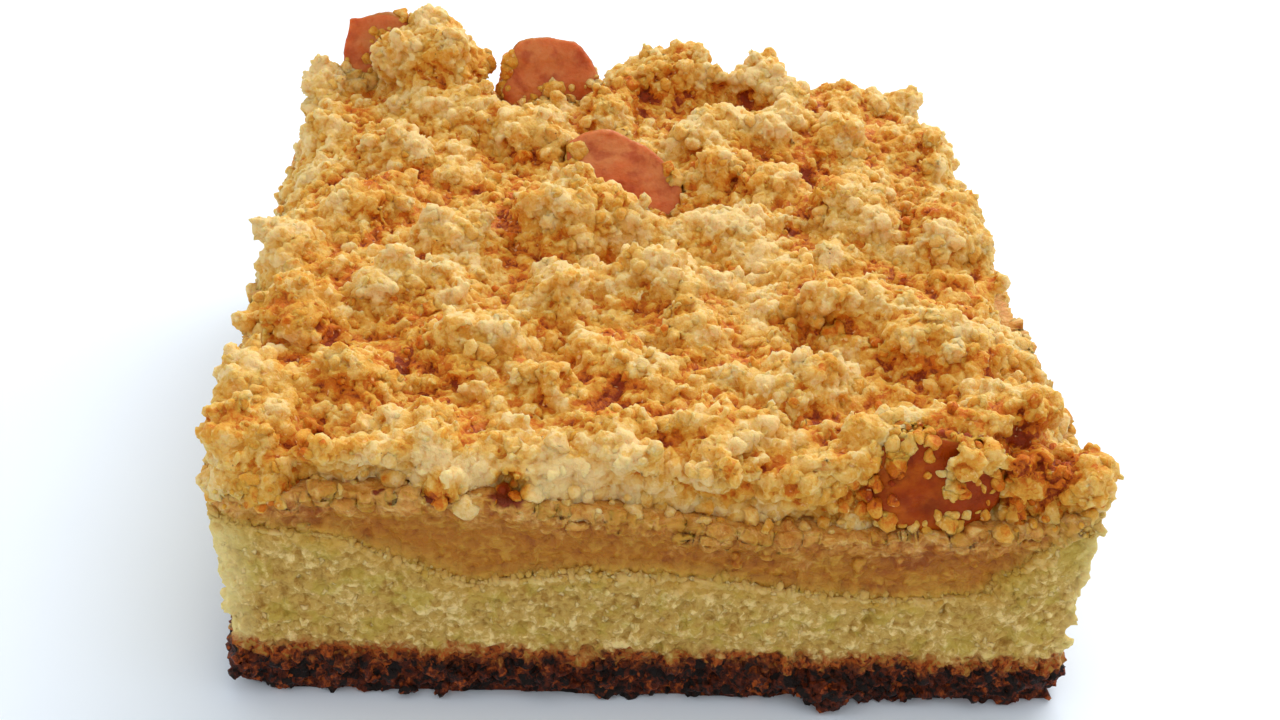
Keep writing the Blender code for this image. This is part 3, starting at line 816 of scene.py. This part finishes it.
def skin_relief():
    """Wrinkles the skin a little, and marks where it faces out."""
    tree = Growth("Skin", {"Skin Way": "Vector", "Wrinkle": "Float", "Swell": "Float"})
    facing = tree.vector("DOT_PRODUCT", tree.normal, tree["Skin Way"], output=1)
    marked = tree.stored(tree["Geometry"], "skin", facing)
    folds = (tree.noise(tree.place, 3.0 * MM, 3.0, 0.6) - 0.5) * tree["Wrinkle"]
    folds = folds + (tree.noise(tree.place, 7.0 * MM, 1.0) - 0.5) * tree["Wrinkle"] * 2 + tree["Swell"]
    return tree.raised(folds, marked)


class CAKE_OT_fruit_pieces(bpy.types.Operator):
    """The four pieces of fruit that stand in the crumble, skin side out"""

    bl_idname = "cake.fruit_pieces"
    bl_label = "Pieces of fruit"

    def execute(self, context):
        look = context.scene.cake_fruit
        relief = skin_relief()
        for node, turns in SKIN_TURNS.items():
            gloss, shades = 0.25, (look.skin, look.skin_pale, look.skin_deep)
            wrinkle, swell = 1.0 * MM, 0.35 * MM
            # The front piece gets the darker copy of the skin colours, painted shade for its place under the
            # crumble's arch
            if node not in BARE:
                gloss, shades = 0.12, (look.skin_in_shade, look.skin_in_shade_pale, look.skin_in_shade_deep)
                wrinkle, swell = 1.6 * MM, 0.7 * MM
            finish = skin_finish(node.replace("wedge", "skin"), look, gloss, shades)
            piece = copied(node.replace("wedge", "piece"), SOLIDS[node], merge=True)
            changed(piece, "SUBSURF", subdivision_type="SIMPLE", levels=3)
            changed(piece, "SMOOTH", iterations=8)
            way = Euler([math.radians(turn) for turn in turns], "XYZ").to_matrix() @ Vector((0, 0, 1))
            grown(piece, relief, finish, skin_way=way, wrinkle=wrinkle, swell=swell)
            settled(piece, "fruit_skin", node)
        return {"FINISHED"}


# Crumble


class CakeCrumble(bpy.types.PropertyGroup):
    voxel: length("Grain", "Finest size of the crumble's surface", 0.00036)
    fill: share("Fill", "Share of the valleys that crumbs fill", 0.20)
    shrink: length("Shrink", "How far the clumps draw in before the crumbs are added", 0.00085)
    coarse: length("Coarse crumb", "Radius of the largest crumbs on the clumps", 0.0021)
    fine: length("Fine crumb", "Radius of the largest small crumbs", 0.0011)
    cell: length("Granule", "Width of the granules in a crumb", 0.0018)
    relief: length("Relief", "Height of the granules", 0.00058)
    # Sugar is the colour of sugar specks and also of painted highlights: the glints and the lit front ledge
    sugar: colour("Sugar", "Specks of sugar and the pale ledge", 254, 218, 152)
    cream: colour("Cream", "Palest crumbs", 240, 204, 138)
    tan: colour("Tan", "Light crumbs", 232, 184, 96)
    gold: colour("Gold", "Most of the crumble", 222, 157, 52)
    # Orange and brown are darker crumbs, and also painted shade in hollows
    orange: colour("Orange", "Buttery hollows", 206, 108, 10)
    brown: colour("Brown", "Deepest hollows", 148, 52, 2)
    spice: colour("Spice", "A few dark dots", 84, 44, 24)
    triangles: count("Triangles", "Most triangles of the crumble", 196000)
    seed: count("Seed", "Draw of the crumbs", 7)


def crumble_finish(name, look, loose):
    """Crumbs from cream to brown: each has a shade of its own, and what lies deep is browner, as painted
    shade.
    """
    reach = (1.2 if loose else 1.8) * MM
    made = Finish(name, translucent(weight=0.50, radius=(1.0, 0.66, 0.36), scale=reach, gloss=0.20))
    place = made.stirred(made.place, *CRUMB_STIR)
    zone = made.noise(place, 14 * MM) - 0.5
    patch = made.noise(place, 4.5 * MM, 2.0, 0.6) - 0.5
    bit = made.drawn(place, 0.95 * MM) - 0.5
    grain = made.noise(place, 0.5 * MM) - 0.5
    deep = made.attribute("deep")
    # Each crumb's own tone; on the crumble it is also lowered in small hollows, as painted shade
    if loose:
        own = (made.attribute("shade") - 0.5) * 0.26
    else:
        own = (made.drawn(place, 1.7 * MM) - 0.5) * 0.34 - made.attribute("fine").least(1.5) * 0.06
    tone = 0.60 + zone + patch * 1.1 + own + bit * 0.18 + grain * 0.55
    ledge, hollow = made.around(place, LIT_LEDGE), made.around(made.place, CAVITIES)
    # Paler on the lit front ledge and the lip as painted light; browner at spots that are partly baked and
    # partly painted shade
    tone = tone + made.around(place, PALE) * 0.21 + ledge * 0.36 - made.around(place, BAKED_AND_SHADED) * 0.42
    # Painted shade: browner where the crumble lies deep, and in the open hollows at the front
    tone = tone - deep.most(-0.6).least(1.3) * 0.22 - hollow * 0.8
    shade = made.ramp(tone, look.brown, look.orange, look.gold, look.tan, look.cream)

    dots = 1 - made.cells(made.place, 1.9 * MM).step(0.04, 0.09)
    dots = dots * made.drawn(made.place, 1.9 * MM).step(0.86, 0.90)
    shade = made.mix(dots * 0.8, shade, look.spice)
    # Glints and the lit front ledge, painted pale as highlights, but none in the open hollows
    glint = 1 - made.cells(place, 0.8 * MM).step(0.10, 0.30)
    glint = glint * made.drawn(place, 0.8 * MM, 1).step(0.66, 0.72)
    painted_highlight = (glint * 0.5).most(ledge * 0.75) * (1 - hollow.step(0.0, 0.4))
    shade = made.mix(painted_highlight, shade, look.sugar)
    roughness = 0.60 - 0.25 * glint - 0.10 * deep.step(0.2, 1.0)
    height = made.noise(made.place, 0.9 * MM, 3.0, 0.65) * 1.1 + grain * 0.4 + bit * 0.30
    return made.done(shade, roughness, height, 0.42 * MM)


def crumble_relief():
    """Granules that stand proud by uneven heights, on every side but the one that lies on the fruit."""
    tree = Growth("Crumble relief", {"Cell": "Float", "Relief": "Float", "Half": "Float", "Bed": "Float"})
    across, along, level = tree.axes()
    down = -tree.part(tree.normal, 2)
    inside = 1 - abs(across).most(abs(along)).step(tree["Half"] - 2.5 * MM, tree["Half"])
    hidden = inside * (1 - level.step(tree["Bed"], tree["Bed"] + 1 * MM)) * down.step(0.2, 0.6)
    place = tree.stirred(tree.place, tree["Cell"], tree["Cell"] * 0.9)
    near = tree.cells(place, tree["Cell"])
    domes = 0.5 - near * near * 1.9
    steps = tree.drawn(place, tree["Cell"]) - 0.5
    chips = tree.drawn(place, tree["Cell"] * 0.5) - 0.5
    wave = tree.noise(tree.place, tree["Cell"] * 0.6, 3.0, 0.65) - 0.5
    granules = (domes * 0.7 + steps * 1.3 + chips * 0.7 + wave * 1.7) * tree["Relief"] * (1 - hidden)
    lip = tree.attribute("filling").step(0.2, 0.8) * (0.3 + down.step(0.0, 0.5) * 0.9) * MM * (1 - hidden)
    shift = granules + lip
    return tree.raised(shift)


class CAKE_OT_crumble(bpy.types.Operator):
    """The thick crumble: its clumps, covered in crumbs that are fused to them"""

    bl_idname = "cake.crumble"
    bl_label = "Crumble"

    def execute(self, context):
        look = context.scene.cake_crumble
        finish = crumble_finish("crumble_clump", look, loose=False)
        piece = copied("crumble", SOLIDS["crumb_topping"], merge=True)
        fruit = copied("bare_fruit", *(SOLIDS[node] for node in BARE))
        band = copied("band", SOLIDS["fruit_layer"])
        remeshed(piece, COARSE_VOXEL)
        grown(piece, fill_tree(), finish, times=40, share=look.fill)
        tree = granule_tree("Granules")
        spread = {"lowest": 21.5 * MM, "highest": ANYWHERE, "facing_from": -0.45, "facing_to": 2.0,
                  "other": fruit, "within": ANYWHERE, "roundness": 1}
        grown(piece, tree, finish, shrink=look.shrink, spacing=2.8 * MM, smallest=0.9 * MM,
              largest=look.coarse, sunk=0.40, clearance=0.8 * MM, seed=look.seed, **spread)
        grown(piece, tree, finish, shrink=0.0, spacing=1.7 * MM, smallest=0.5 * MM,
              largest=look.fine, sunk=0.25, clearance=0.2 * MM, seed=look.seed + 10, **spread)
        remeshed(piece, look.voxel)
        largest_body(piece)
        near_marked(piece, finish, filling=(band, 3.0 * MM))
        grown(piece, crumble_relief(), finish, cell=look.cell, relief=look.relief, half=BED_HALF,
              bed=BED_LEVEL)
        thinned(piece, look.triangles)
        hollows_marked(piece, finish, far=120)
        dropped(fruit, band)
        settled(piece, "crumble", "crumb_topping")
        return {"FINISHED"}


# Loose grains


class CakeGrains(bpy.types.PropertyGroup):
    spacing: length("Spacing", "Least distance between two grains", 0.0019)
    smallest: length("Smallest", "Radius of the smallest grain", 0.00032)
    largest: length("Largest", "Radius of the largest grain", 0.00090)
    crumb_spacing: length("Crumb spacing", "Least distance between two loose crumbs", 0.0052)
    crumb: length("Crumb", "Radius of the largest loose crumb", 0.0014)
    bare: share("Bare", "Share of the crumble left without grains", 0.46)
    edge_spacing: length("Edge spacing", "Least distance between two crumbs at the edge of the fruit", 0.0015)
    edge_crumb: length("Edge crumb", "Radius of the largest crumb at the edge of the fruit", 0.0012)
    edge_reach: length("Edge reach", "How far such crumbs lie from the crumble", 0.0013)
    seam_spacing: length("Seam spacing", "Least distance between two bits of sponge at the fruit", 0.0005)
    seam_crumb: length("Seam crumb", "Radius of the largest bit of sponge at the fruit", 0.0007)
    seam_reach: length("Seam reach", "How far such bits lie from the seam", 0.00045)
    rim: length("Rim", "Least distance of the edge crumbs from the middle of the slice", 0.0440)
    seed: count("Seed", "Draw of the grains", 23)


class CAKE_OT_grains(bpy.types.Operator):
    """Loose grains and crumbs that lie on the crumble, and crumbs that cling to the fruit along its edge"""

    bl_idname = "cake.grains"
    bl_label = "Loose grains"

    def execute(self, context):
        look = context.scene.cake_grains
        golden = crumble_finish("loose_grain", context.scene.cake_crumble, loose=True)
        torn = bpy.data.materials["sponge_crumb"]
        crumble, band, sponge = (bpy.data.objects[name] for name in ("crumble", "fruit_filling", "sponge"))
        skins = [bpy.data.objects[node.replace("wedge", "piece")] for node in SKIN_TURNS]
        fruit = copied("bare_fruit", *(SOLIDS[node] for node in BARE))
        around_skins = copied("around_skins", crumble, band)
        tree = granule_tree("Loose", fused=False)

        top = {"other": fruit, "within": ANYWHERE, "lowest": 24.5 * MM, "facing_from": 0.0, "facing_to": 2.0,
               "rim": 0.0, "sunk": 0.45, "roundness": 2}
        side = {"lowest": CUT_SIDES, "facing_from": -0.95, "facing_to": 0.7, "rim": look.rim, "bare": -1.0}
        edge = side | {"within": look.edge_reach, "spacing": look.edge_spacing, "smallest": look.smallest,
                       "largest": look.edge_crumb, "sunk": 0.30, "roundness": 2}
        seam = side | {"within": look.seam_reach, "spacing": look.seam_spacing, "smallest": 0.22 * MM,
                       "largest": look.seam_crumb, "sunk": 0.25, "roundness": 1}
        batches = {
            "loose_grains": ((crumble,), golden, top, {
                "spacing": look.spacing, "smallest": look.smallest, "largest": look.largest,
                "bare": look.bare, "seed": 1}),
            "loose_crumbs": ((crumble,), golden, top, {
                "spacing": look.crumb_spacing, "smallest": look.largest, "largest": look.crumb,
                "bare": 0.0, "roundness": 3, "seed": 2}),
            "edge_crumbs": ((band,), golden, edge, {
                "other": crumble, "facing_to": 2.0, "rim": look.rim + 2 * MM, "seed": 7}),
            "lip_crumbs": ((crumble,), golden, edge, {"other": band, "seed": 8}),
            "skin_crumbs": (skins, golden, edge, {
                "other": around_skins, "within": 2.2 * MM, "facing_to": 2.0, "rim": 0.0, "bare": 0.43,
                "spacing": 1.0 * MM, "largest": 1.3 * MM, "roundness": 3, "seed": 9}),
            "seam_crumbs": ((band,), torn, seam, {"other": sponge, "seed": 11}),
            "rim_crumbs": ((sponge,), torn, seam, {"other": band, "facing_to": 0.95, "seed": 12}),
        }
        for name, (sources, finish, shared, own) in batches.items():
            piece = copied(name, *sources)
            values = shared | own | {"seed": look.seed + own["seed"], "highest": ANYWHERE, "clearance": 0.0}
            grown(piece, tree, finish, **values)
            if finish == torn:
                near_marked(piece, finish, filling=(band, JUICE_REACH))
            settled(piece, "sponge" if finish == torn else "crumble")
        dropped(fruit, around_skins)
        return {"FINISHED"}


# Stage

SENSOR = 36.0  # width of the camera's sensor in millimetres
NEAREST = 0.01  # what is nearer to the camera than this isn't drawn
ROOM_BEHIND = (0.94, 0.97, 1.0)
LAMP_COLOUR = (1.0, 0.985, 0.96)
LAMP_SIZE = (0.9, 0.7)
LAMP_PLACE = Vector((0.38, 0.62, 0.62))
CAKE_MIDDLE = Vector((0.0, 0.0, 0.02))
FLOOR_SIZE = 2.5


class CakeStage(bpy.types.PropertyGroup):
    lens: amount("Lens", "Focal length on a 36 mm sensor", 46.406)
    place: FloatVectorProperty(
        name="Camera", description="Where the camera stands", default=(-0.01835, -0.18644, 0.13339),
        subtype="XYZ", unit="LENGTH",
    )
    pitch: angle("Pitch", "Turn down", 32.32)
    yaw: angle("Yaw", "Turn to the left", -5.66)
    roll: angle("Roll", "Tilt", 4.10)
    sky: amount("Sky", "Strength of the even light", 1.0)
    front: share("Front", "Share of it that comes from the front", 0.67)
    lamp: amount("Lamp", "Power of the large lamp behind", 6.2, unit="POWER")
    floor: colour("Floor", "Pale floor", 238, 246, 255)


def camera_turn(look):
    """The camera's matrix: right, up and back as columns."""
    ahead = Vector((-math.sin(look.yaw), math.cos(look.yaw), 0.0))
    right = Vector((math.cos(look.yaw), math.sin(look.yaw), 0.0))
    above = Vector((0.0, 0.0, 1.0))
    forward = ahead * math.cos(look.pitch) - above * math.sin(look.pitch)
    up = ahead * math.sin(look.pitch) + above * math.cos(look.pitch)
    level = right * math.cos(look.roll) + up * math.sin(look.roll)
    tilted = up * math.cos(look.roll) - right * math.sin(look.roll)
    return Matrix((level, tilted, -forward)).transposed().to_4x4()


def floor_finish(look):
    constants = {"Roughness": 0.55, "Specular IOR Level": 0.35, "Base Color": (*look.floor, 1.0)}
    return Finish("floor", constants).material


class CAKE_OT_stage(bpy.types.Operator):
    """Camera, soft light and a pale floor"""

    bl_idname = "cake.stage"
    bl_label = "Stage"

    def execute(self, context):
        look = context.scene.cake_stage
        scene = context.scene
        camera = placed("camera", bpy.data.cameras.new("camera"))
        camera.data.lens = look.lens
        camera.data.sensor_width = SENSOR
        camera.data.clip_start = NEAREST
        camera.matrix_world = Matrix.Translation(look.place) @ camera_turn(look)
        scene.camera = camera

        world = bpy.data.worlds.new("soft_room")
        world.use_nodes = True
        room = Maker(world.node_tree)
        way = room.node("ShaderNodeTexCoord")
        behind = (room.part(way, 1) * 0.6 + room.part(way, 2) * 0.8).step(-0.35, 0.45)
        light = room.mix(behind, (look.front,) * 3, ROOM_BEHIND)
        background = world.node_tree.nodes["Background"]
        world.node_tree.links.new(light.socket, background.inputs["Color"])
        background.inputs["Strength"].default_value = look.sky
        scene.world = world

        lamp = bpy.data.lights.new("window", "AREA")
        lamp.shape = "RECTANGLE"
        lamp.size, lamp.size_y = LAMP_SIZE
        lamp.energy = look.lamp
        lamp.color = LAMP_COLOUR
        window = placed("window", lamp)
        window.location = LAMP_PLACE
        window.rotation_euler = (CAKE_MIDDLE - LAMP_PLACE).to_track_quat("-Z", "Y").to_euler()

        shape = bmesh.new()
        bmesh.ops.create_grid(shape, x_segments=1, y_segments=1, size=FLOOR_SIZE)
        mesh = bpy.data.meshes.new("floor")
        shape.to_mesh(mesh)
        shape.free()
        mesh.materials.append(floor_finish(look))
        floor = placed("floor", mesh)

        scene.view_settings.view_transform = "Standard"
        scene.view_settings.look = "None"
        return {"FINISHED"}


class CAKE_PT_panel(bpy.types.Panel):
    bl_idname = "CAKE_PT_panel"
    bl_label = "Crumb cake slice"
    bl_space_type = "VIEW_3D"
    bl_region_type = "UI"
    bl_category = "Cake"

    def draw(self, context):
        for name, (_, *steps) in PARTS.items():
            group = getattr(context.scene, name)
            box = self.layout.box()
            for item in group.bl_rna.properties:
                if item.identifier not in ("rna_type", "name"):
                    box.prop(group, item.identifier)
            for step in steps:
                box.operator(step.bl_idname)


# Each group of settings, with the steps that read it
PARTS = {
    "cake_stage": (CakeStage, CAKE_OT_stage),
    "cake_sponge": (CakeSponge, CAKE_OT_sponge),
    "cake_fruit": (CakeFruit, CAKE_OT_fruit, CAKE_OT_fruit_pieces),
    "cake_crumble": (CakeCrumble, CAKE_OT_crumble),
    "cake_grains": (CakeGrains, CAKE_OT_grains),
}


def register():
    for name, (group, *steps) in PARTS.items():
        bpy.utils.register_class(group)
        setattr(bpy.types.Scene, name, PointerProperty(type=group))
        for step in steps:
            bpy.utils.register_class(step)
    bpy.utils.register_class(CAKE_PT_panel)


def unregister():
    bpy.utils.unregister_class(CAKE_PT_panel)
    for name, (group, *steps) in reversed(PARTS.items()):
        for step in reversed(steps):
            bpy.utils.unregister_class(step)
        delattr(bpy.types.Scene, name)
        bpy.utils.unregister_class(group)


def main():
    register()
    bpy.ops.cake.stage()
    bpy.ops.cake.sponge()
    bpy.ops.cake.fruit()
    bpy.ops.cake.fruit_pieces()
    bpy.ops.cake.crumble()
    bpy.ops.cake.grains()


if __name__ == "__main__":
    main()
